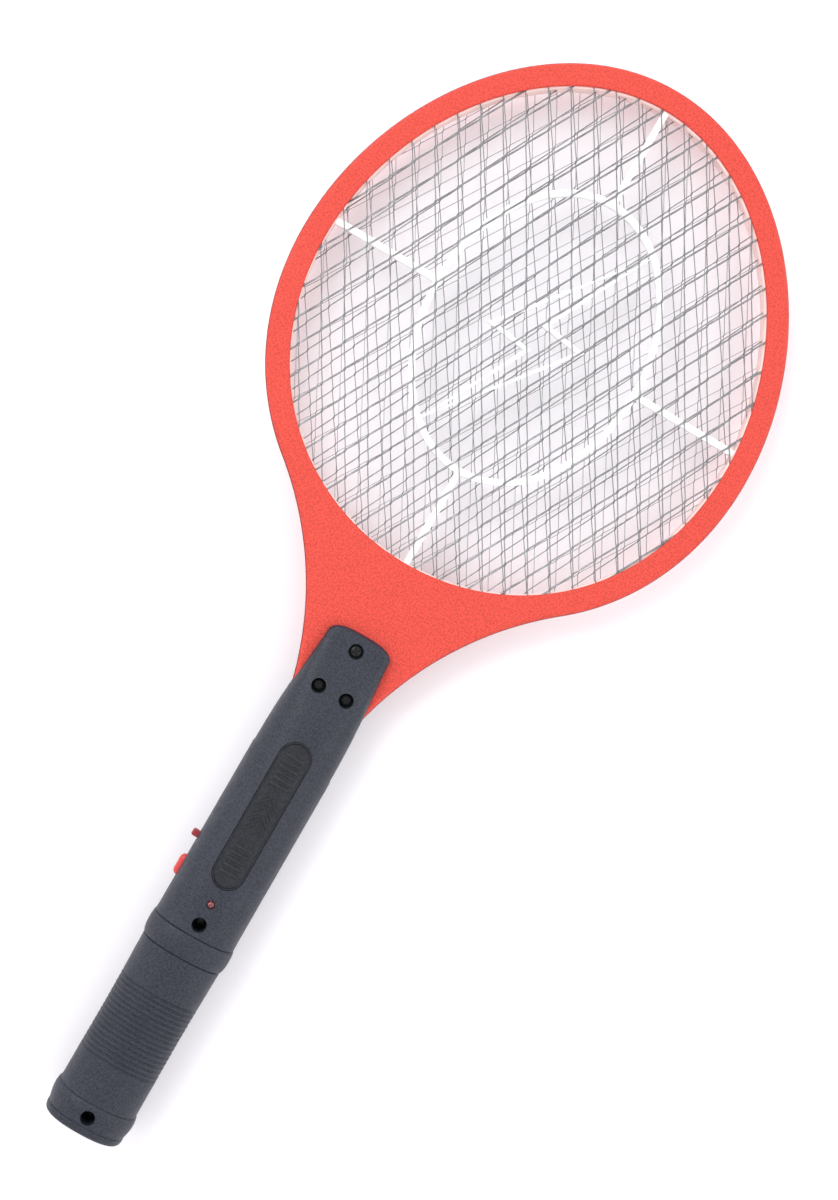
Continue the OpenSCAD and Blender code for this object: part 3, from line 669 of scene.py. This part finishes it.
def prism_from(name, loop, z0, z1):
    return loft(name, [[(x, y, z0) for x, y in loop], [(x, y, z1) for x, y in loop]])


SCREWS = [(0, 7.5), (0, 97.9), (6.5, 206.5), (-6.5, 206.5), (0, 225.9)]


def front_shell():
    obj = shell_solid("handle_front", 1)
    cutters = hollow_cutter("hollow")
    for k, (x, y) in enumerate(SCREWS):
        floor = MID + (4.0 if k < 2 else HALF_T + 1.8)
        top = MID + outer_point(y, math.atan2(1, (x or 1e-6) / 14))[1]
        cutters.append(turned("recess", (x, BUTT + y, 0),
                              [(3.0, floor), (3.0, top - 0.35), (3.35, top + 0.15), (3.35, MID + 22)]))
    cutters.append(turned("lamp_hole", (0, BUTT + 107.4, 0),
                          [(1.62, MID + 8), (1.62, MID + HALF_D - 0.3), (1.9, MID + HALF_D + 0.1),
                           (1.9, MID + 22)]))
    low, high = badge_low[1], badge_high[1]
    top = MID + HALF_D
    cutters.append(prism_from("badge_cut", racetrack(14.2, low, high), top - 1.2, top + 3))
    cutters += slot_cutters()
    cut(obj, cutters)
    return weighted(smooth(obj, 38))


def surface_z(x):
    """Height of the straight part of the handle above the middle plane at x."""
    return HALF_D * max(0.0, 1 - abs(x / HALF_W) ** 2.4) ** (1 / 2.4)


def draped(name, loops, top, bottom, soft=0.12):
    """A plate that follows the handle's curve, between two depths below it, with softened upper edges."""
    verts, faces = [], []
    upper = [inset(loop, soft if k == 0 else -soft) for k, loop in enumerate(loops)]
    v, tris = flat_fill(upper, 1.5)
    for depth, flip in ((top, False), (bottom, True)):
        start = len(verts)
        verts.extend((x, y, MID + surface_z(x) - depth) for x, y in v)
        faces.extend(tuple(start + i for i in (t[::-1] if flip else t)) for t in tris)
    for loop, inner in zip(loops, upper):
        starts = []
        for pts, depth in ((inner, top), (loop, top + soft), (loop, bottom - 0.01), (inner, bottom)):
            starts.append(len(verts))
            verts.extend((x, y, MID + surface_z(x) - depth) for x, y in pts)
        n = len(loop)
        for a, b in zip(starts, starts[1:]):
            faces.extend((a + k, a + (k + 1) % n, b + (k + 1) % n, b + k) for k in range(n))
    return recalc(new_object(name, verts, faces))


def bar_loop(x0, x1, y0, y1, slant=0.0, n=5):
    """A rounded bar across the badge; slant moves its right end along the handle."""
    r = (y1 - y0) / 2
    right = [(x1 - r + r * math.cos(t), (y0 + y1) / 2 + slant + r * math.sin(t))
             for t in np.linspace(-math.pi / 2, math.pi / 2, n)]
    left = [(x0 + r + r * math.cos(t), (y0 + y1) / 2 - slant + r * math.sin(t))
            for t in np.linspace(math.pi / 2, 1.5 * math.pi, n)]
    return np.array(right + left)


def badge():
    """Sunken inlay with a double outline and plain raised ribs."""
    y0, y1 = badge_low[1], badge_high[1]
    parts = [draped("band", [racetrack(13.8, y0 + 0.2, y1 - 0.2), racetrack(12.9, y0 + 0.65, y1 - 0.65)],
                    -0.1, 0.7, 0.25),
             draped("plate", [racetrack(12.1, y0 + 1.05, y1 - 1.05)], 0.62, 0.9)]
    mid = (y0 + y1) / 2
    for at, count, pitch, half, slant in ((-21, 5, 2.9, 4.4, 0), (0, 4, 4.0, 4.6, 1.6),
                                          (20.5, 6, 2.6, 4.5, 0)):
        for k in range(count):
            y = mid + at + (k - (count - 1) / 2) * pitch
            if slant:
                for side in (-1, 1):
                    ends = sorted((side * 0.5, side * half))
                    parts.append(draped("rib", [bar_loop(*ends, y - 0.65, y + 0.65, -side * slant)],
                                        -0.05, 0.65, 0.2))
            else:
                parts.append(draped("rib", [bar_loop(-half, half, y - 0.65, y + 0.65)], -0.05, 0.65, 0.2))
    return smooth(join("badge_inlay", parts), 40)


def button():
    """Rounded push button with the flange that keeps it in its slot."""
    mid = (button_low[1] + button_high[1]) / 2
    cap = block("cap", (button_low[0], mid - 4.75, MID - 2.75), (-14.4, mid + 4.75, MID + 2.75), 2.2, 8)
    flange = block("flange", (-15.65, mid - 5.95, MID - 3.95), (-14.25, mid + 5.95, MID + 3.95), 0.25, 2)
    return weighted(smooth(join("button_cap", [cap, flange]), 40))


def screws(name, places, box):
    """Pan head screws with a cross recess, from the box of the CAD's screws."""
    low, high = box
    r = high[0] - max(x for x, _ in places)
    top, shank = high[2], 1.5
    parts = []
    for k, (x, y) in enumerate(places):
        dome = [(r * math.sin(t), top - 0.6 + 0.6 * math.cos(t)) for t in np.linspace(0.02, math.pi / 2, 7)]
        body = turned("screw", (x, BUTT + y, 0),
                      [(0.02, low[2]), (shank * 0.5, low[2] + 0.2), (shank * 0.9, low[2] + 1.6),
                       (shank, low[2] + 2), (shank, top - 1.6), (r - 0.15, top - 1.6),
                       (r, top - 1.45)] + dome[::-1], 32)
        turn = Matrix.Rotation(0.4 + 0.9 * k, 3, "Z")
        slots = []
        for w, d in ((1.7, 0.35), (0.35, 1.7)):
            c = block("slot", (-w, -d, -1.0), (w, d, 1.0))
            for v in c.data.vertices:
                v.co = turn @ v.co + Vector((x, BUTT + y, top)) * MM
            slots.append(c)
        parts.append(cut(body, slots))
    return smooth(join(name, parts), 40)


def lamp():
    """Lens of the indicator lamp: a dome with its flange, from the CAD's box."""
    (x0, y0, z0), (x1, y1, z1) = lens_low, lens_high
    centre = ((x0 + x1) / 2, (y0 + y1) / 2, 0)
    r = 1.5
    dome = [(r * math.cos(t), z1 - r + r * math.sin(t)) for t in np.linspace(0, 1.5, 9)]
    return smooth(turned("lamp_lens", centre, [((x1 - x0) / 2, z0), ((x1 - x0) / 2, z0 + 1),
                                               (r, z0 + 1)] + dome), 50)


def knob():
    """Slide switch knob: a small rounded finger piece and its flange."""
    mid = (knob_low[1] + knob_high[1]) / 2
    cap = block("cap", (knob_low[0], mid - 1.55, MID - 2), (-14.4, mid + 1.55, MID + 2), 0.9, 5)
    flange = block("flange", (-15.65, knob_low[1], knob_low[2]),
                   (-14.25, knob_high[1], knob_high[2]), 0.25, 2)
    return weighted(smooth(join("knob_cap", [cap, flange]), 40))


def door_cutter(grow=0.0):
    half = (door_high[0] - door_low[0]) / 2
    return block("door_cut", (-half - grow, door_low[1] - grow, MID - 25),
                 (half + grow, door_high[1] + grow, MID - 6 + grow))


# ---- materials ----


def socket(shader, name, value):
    shader.inputs[name].default_value = value


def material(name, color, rough=0.5, metal=0.0, grain=0.0, grain_size=0.3, mottle=0.03, spread=0.06, coat=0.0,
             specular=0.5, speck=0.0, stretch=(1, 1, 1), transmission=0.0, ior=1.45, alpha=1.0):
    """Plastic or metal with fine grain, and slow changes of tone and roughness. Sizes in millimetres."""
    mat = bpy.data.materials.new(name)
    mat.use_nodes = True
    nodes, links = mat.node_tree.nodes, mat.node_tree.links
    shader = nodes["Principled BSDF"]
    socket(shader, "Metallic", metal)
    socket(shader, "Coat Weight", coat)
    socket(shader, "Specular IOR Level", specular)
    socket(shader, "IOR", ior)
    socket(shader, "Transmission Weight", transmission)
    socket(shader, "Alpha", alpha)
    coords = nodes.new("ShaderNodeTexCoord")
    scale = nodes.new("ShaderNodeMapping")
    scale.inputs["Scale"].default_value = stretch
    links.new(coords.outputs["Object"], scale.inputs["Vector"])

    def noise(size_mm, detail, roughness=0.55):
        n = nodes.new("ShaderNodeTexNoise")
        n.inputs["Scale"].default_value = 1000.0 / size_mm
        n.inputs["Detail"].default_value = detail
        n.inputs["Roughness"].default_value = roughness
        links.new(scale.outputs["Vector"], n.inputs["Vector"])
        return n.outputs["Fac"]

    def ramp(source, low, high, reach=0.2):
        r = nodes.new("ShaderNodeMapRange")
        r.inputs["From Min"].default_value = 0.5 - reach
        r.inputs["From Max"].default_value = 0.5 + reach
        r.inputs["To Min"].default_value = low
        r.inputs["To Max"].default_value = high
        links.new(source, r.inputs["Value"])
        return r.outputs["Result"]

    def tinted(source, a, b, reach=0.2):
        m = nodes.new("ShaderNodeMix")
        m.data_type = "RGBA"
        m.inputs["A"].default_value = (*a, 1)
        m.inputs["B"].default_value = (*b, 1)
        links.new(ramp(source, 0, 1, reach), m.inputs["Factor"])
        return m.outputs["Result"]

    dark = tuple(c * (1 - mottle) for c in color)
    light = tuple(min(1, c * (1 + mottle)) for c in color)
    tone = tinted(noise(14.0, 3), dark, light)
    if speck:
        m = nodes.new("ShaderNodeMix")
        m.data_type = "RGBA"
        m.blend_type = "MULTIPLY"
        m.inputs["Factor"].default_value = 1.0
        links.new(tone, m.inputs["A"])
        links.new(tinted(noise(grain_size * 2.0, 2), (1 - speck,) * 3, (1 + speck,) * 3, 0.12), m.inputs["B"])
        tone = m.outputs["Result"]
    links.new(tone, shader.inputs["Base Color"])
    links.new(ramp(noise(5.0, 4), max(0.02, rough - spread), min(1, rough + spread)),
              shader.inputs["Roughness"])
    if grain:
        bump = nodes.new("ShaderNodeBump")
        bump.inputs["Strength"].default_value = 1.0
        bump.inputs["Distance"].default_value = grain * MM
        links.new(noise(grain_size, 2, 0.6), bump.inputs["Height"])
        links.new(bump.outputs["Normal"], shader.inputs["Normal"])
    return mat


MATERIALS = {
    "frame": material("coral_plastic", (0.575, 0.0535, 0.0365), 0.6, grain=0.05, grain_size=0.4,
                      mottle=0.02, speck=0.2, specular=0.35),
    "handle": material("slate_plastic", (0.0195, 0.0225, 0.0345), 0.5, grain=0.05, grain_size=0.38,
                       mottle=0.07, speck=0.38, specular=0.4),
    "badge": material("badge_plastic", (0.0135, 0.0145, 0.0195), 0.36, grain=0.03, grain_size=0.5,
                      mottle=0.06, speck=0.35, specular=0.4),
    "sheet": material("stretched_metal", (0.2, 0.2, 0.21), 0.42, metal=0.5, grain=0.02, grain_size=0.4,
                      mottle=0.2, spread=0.12, speck=0.2),
    "spacer": material("white_plastic", (0.92, 0.92, 0.92), 0.32, grain=0.006, grain_size=0.8, mottle=0.01,
                       coat=0.2),
    "control": material("red_plastic", (0.52, 0.03, 0.03), 0.3, grain=0.008, grain_size=0.4, mottle=0.04,
                        coat=0.15),
    "screw": material("black_oxide", (0.02, 0.02, 0.023), 0.3, metal=0.6, grain=0.01, grain_size=0.3,
                      mottle=0.15, spread=0.1),
    "contact": material("nickel_plate", (0.66, 0.65, 0.6), 0.28, metal=1.0, grain=0.008, grain_size=0.5,
                        mottle=0.08),
    "lamp": material("clear_lens", (0.9, 0.22, 0.25), 0.12, grain=0.002, grain_size=0.6, mottle=0.02,
                     spread=0.03, transmission=0.85, ior=1.5),
    "board": material("phenolic_board", (0.36, 0.21, 0.07), 0.55, grain=0.02, grain_size=0.7, mottle=0.12,
                      speck=0.1),
    "ferrite": material("ferrite", (0.05, 0.05, 0.055), 0.6, grain=0.03, grain_size=0.3, mottle=0.12,
                        speck=0.12),
    "bobbin": material("ivory_nylon", (0.7, 0.66, 0.52), 0.45, grain=0.01, grain_size=0.5, mottle=0.04),
    "winding": material("yellow_tape", (0.72, 0.46, 0.06), 0.28, grain=0.02, grain_size=1.2, mottle=0.05,
                        coat=0.3),
    "capacitor": material("dipped_epoxy", (0.42, 0.06, 0.025), 0.22, grain=0.02, grain_size=2.0,
                          mottle=0.06, coat=0.4),
    "component": material("black_epoxy", (0.03, 0.03, 0.03), 0.4, grain=0.01, grain_size=0.4, mottle=0.1),
    "resistor": material("tan_lacquer", (0.55, 0.38, 0.2), 0.35, grain=0.01, grain_size=0.8, mottle=0.06),
    "switch_case": material("switch_nylon", (0.06, 0.06, 0.062), 0.45, grain=0.015, grain_size=0.4,
                            mottle=0.08),
    "switch_metal": material("tinned_can", (0.62, 0.62, 0.6), 0.25, metal=1.0, grain=0.006, grain_size=0.8,
                             mottle=0.08),
    "battery": material("cell_sleeve", (0.42, 0.27, 0.05), 0.26, grain=0.006, grain_size=1.5, mottle=0.05,
                        coat=0.4),
    "wire_red": material("red_insulation", (0.5, 0.02, 0.02), 0.42, grain=0.01, grain_size=0.6, mottle=0.06),
    "wire_black": material("black_insulation", (0.02, 0.02, 0.02), 0.42, grain=0.01, grain_size=0.6,
                           mottle=0.06),
}
# Darker red for the frame's steep side walls: painted shade, as these walls get less light.
RIM_SIDE_SHADE = material("coral_side_painted_shade", (0.2, 0.018, 0.014), 0.6, grain=0.06, grain_size=0.6, mottle=0.02,
                    speck=0.22, specular=0.3)
# Pink-tinted white for the spacers' rim at the opening's edge: painted reflection of the frame's red.
SPACER_RIM_PAINTED_REFLECTION = material("white_plastic_rim_painted_reflection", (0.93, 0.66, 0.63), 0.4, grain=0.006, grain_size=0.8, mottle=0.02)
KNOB_RED = material("knob_red", (0.27, 0.014, 0.02), 0.3, grain=0.008, grain_size=0.4, mottle=0.05, coat=0.15)


def dress(obj, slot):
    obj.data.materials.clear()
    obj.data.materials.append(MATERIALS[slot])
    return obj


def finish_piece(obj, slot, body, *nodes):
    dress(obj, slot)
    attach(obj, body)
    if nodes:
        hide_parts(*nodes)
    return obj


# ---- pieces: head ----

STEEP = 0.6  # a face whose normal rises less than this counts as the frame's side
for side, end in ((1, "front"), (-1, "rear")):
    half = finish_piece(frame_half("racket_frame_" + end, side), "frame", "racket", "frame_" + end)
    # The steep side walls get the darker red as painted shade.
    half.data.materials.append(RIM_SIDE_SHADE)
    within = inside(face_centres(half), oval(RIM_W / 2))
    for face, near_hole in zip(half.data.polygons, within):
        if abs(face.normal.z) < STEEP and not near_hole:
            face.material_index = 1
for node, piece, turn, shift, stretch, widths, lean in (
    ("guard_sheet_front", "guard_mesh_front", 1.54, (-0.802, -0.064), 1.0, (0.36, 0.66), (10, -28)),
    ("guard_sheet_rear", "guard_mesh_rear", -1.5, (0.5, 0.5), 1.0, (0.2, 0.2), (0, 0)),
    ("inner_sheet", "live_mesh", 3.95, (-0.12, 0.36), 1.018, (0.32, 0.38), (0, -20)),
):
    low, high = cad_box(node)
    finish_piece(expanded_sheet(piece, (low[2] + high[2]) / 2, turn, shift, stretch, widths, lean), "sheet",
                 "racket", node)
for node, piece, grid in (("spacer_front", "spacer_grid_front", True),
                          ("spacer_rear", "spacer_rim_rear", False)):
    low, high = cad_box(node)
    spacer = finish_piece(spacer_piece(piece, low[2], high[2], grid), "spacer", "racket", node)
    spacer.data.materials.append(SPACER_RIM_PAINTED_REFLECTION)  # the rim is tinted pink: painted reflection of the frame's red
    for face, in_opening in zip(spacer.data.polygons, inside(face_centres(spacer), oval(-2.0))):
        face.material_index = 0 if in_opening else 1

# ---- pieces: handle ----

finish_piece(front_shell(), "handle", "racket", "handle_front_shell")
rear = shell_solid("handle_rear", -1)
cut(rear, hollow_cutter("hollow") + [door_cutter(0.3)] + slot_cutters())
finish_piece(weighted(smooth(rear, 38)), "handle", "racket", "handle_rear_shell")

finish_piece(badge(), "badge", "racket", "badge_plate")
finish_piece(button(), "control", "button", "push_button")
slider = finish_piece(knob(), "control", "knob", "slide_switch_knob")
slider.data.materials[0] = KNOB_RED
finish_piece(lamp(), "lamp", "racket", "led_lens")
finish_piece(screws("shell_screws", SCREWS[:2], cad_box("handle_screws")), "screw", "racket", "handle_screws")
finish_piece(screws("neck_fasteners", SCREWS[2:], cad_box("neck_screws")), "screw", "racket", "neck_screws")

# ---- everything that stays as the CAD has it gets its material ----

slots = {s["node"]: s["material_slot"] for s in frame["record"]["subparts"]}
for node, obj in frame["nodes"].items():
    if not obj.hide_render:
        dress(obj, slots[node])

# ---- floor, light and camera ----

REACH = 3000  # half the floor's side
floor = new_object("floor", [(-REACH, -REACH, 0), (REACH, -REACH, 0), (REACH, REACH, 0), (-REACH, REACH, 0)],
                   [(0, 1, 2, 3)])
floor.data.materials.append(material("pale_floor", (0.93, 0.91, 0.945), 0.9, mottle=0.004, spread=0.02,
                                     specular=0.1))

SKY_LOW, SKY_HIGH = 1.7, 0.85
world = bpy.data.worlds.new("studio")
bpy.context.scene.world = world
world.use_nodes = True
world_nodes, world_links = world.node_tree.nodes, world.node_tree.links
direction = world_nodes.new("ShaderNodeTexCoord")
split = world_nodes.new("ShaderNodeSeparateXYZ")
height = world_nodes.new("ShaderNodeMapRange")  # brighter near the horizon than overhead
height.inputs["To Min"].default_value = SKY_LOW
height.inputs["To Max"].default_value = SKY_HIGH
world_links.new(direction.outputs["Generated"], split.inputs["Vector"])
world_links.new(split.outputs["Z"], height.inputs["Value"])
world_links.new(height.outputs["Result"], world_nodes["Background"].inputs["Strength"])
world_nodes["Background"].inputs["Color"].default_value = (1, 1, 1, 1)


def area_light(name, place, size, power, target=(0, 0, 0)):
    data = bpy.data.lights.new(name, "AREA")
    data.shape = "DISK"
    data.size = size
    data.energy = power
    light = bpy.data.objects.new(name, data)
    bpy.context.scene.collection.objects.link(light)
    light.location = place
    light.rotation_mode = "QUATERNION"
    light.rotation_quaternion = (Vector(target) - Vector(place)).to_track_quat("-Z", "Y")
    return light


# The photographer's frame: image right and up in the object's plane
roll = math.radians(59.98)
right = Vector((math.sin(roll), math.cos(roll), 0))
up = Vector((-math.cos(roll), math.sin(roll), 0))
area_light("key", tuple(up * 0.75 - right * 0.55 + Vector((0, 0, 1.25))), 0.9, 11)
area_light("fill", tuple(right * 0.9 - up * 0.3 + Vector((0, 0, 1.1))), 1.1, 5)

PIXEL = 0.4163 * MM  # size of one pixel of an 838 x 1200 picture in the object's plane
PICTURE_H = 1200
PIXELS_AWAY = 2000  # the camera's distance is assumed
DISTANCE = PIXELS_AWAY * PIXEL
SENSOR = 36
camera_data = bpy.data.cameras.new("camera")
camera = bpy.data.objects.new("camera", camera_data)
bpy.context.scene.collection.objects.link(camera)
camera_data.sensor_width = SENSOR
camera_data.lens = SENSOR * PIXELS_AWAY / PICTURE_H
camera_data.clip_start, camera_data.clip_end = 0.05, 20
target = Vector((0.01241, 0.01452 + 0.25 + BUTT * MM - 0.0072, MID * MM))
# The object lies tilted by these angles about its X and then its Y axis, as the camera sees it
tilt = Matrix.Rotation(math.radians(3.32), 3, "Y") @ Matrix.Rotation(math.radians(-0.86), 3, "X")
undo = tilt.transposed()
axes = Matrix((undo @ right, undo @ up, undo @ Vector((0, 0, 1)))).transposed()
camera.matrix_world = Matrix.Translation(target + axes.col[2] * DISTANCE) @ axes.to_4x4()
bpy.context.scene.camera = camera
bpy.context.scene.view_settings.view_transform = "Standard"

bpy.context.view_layer.update()
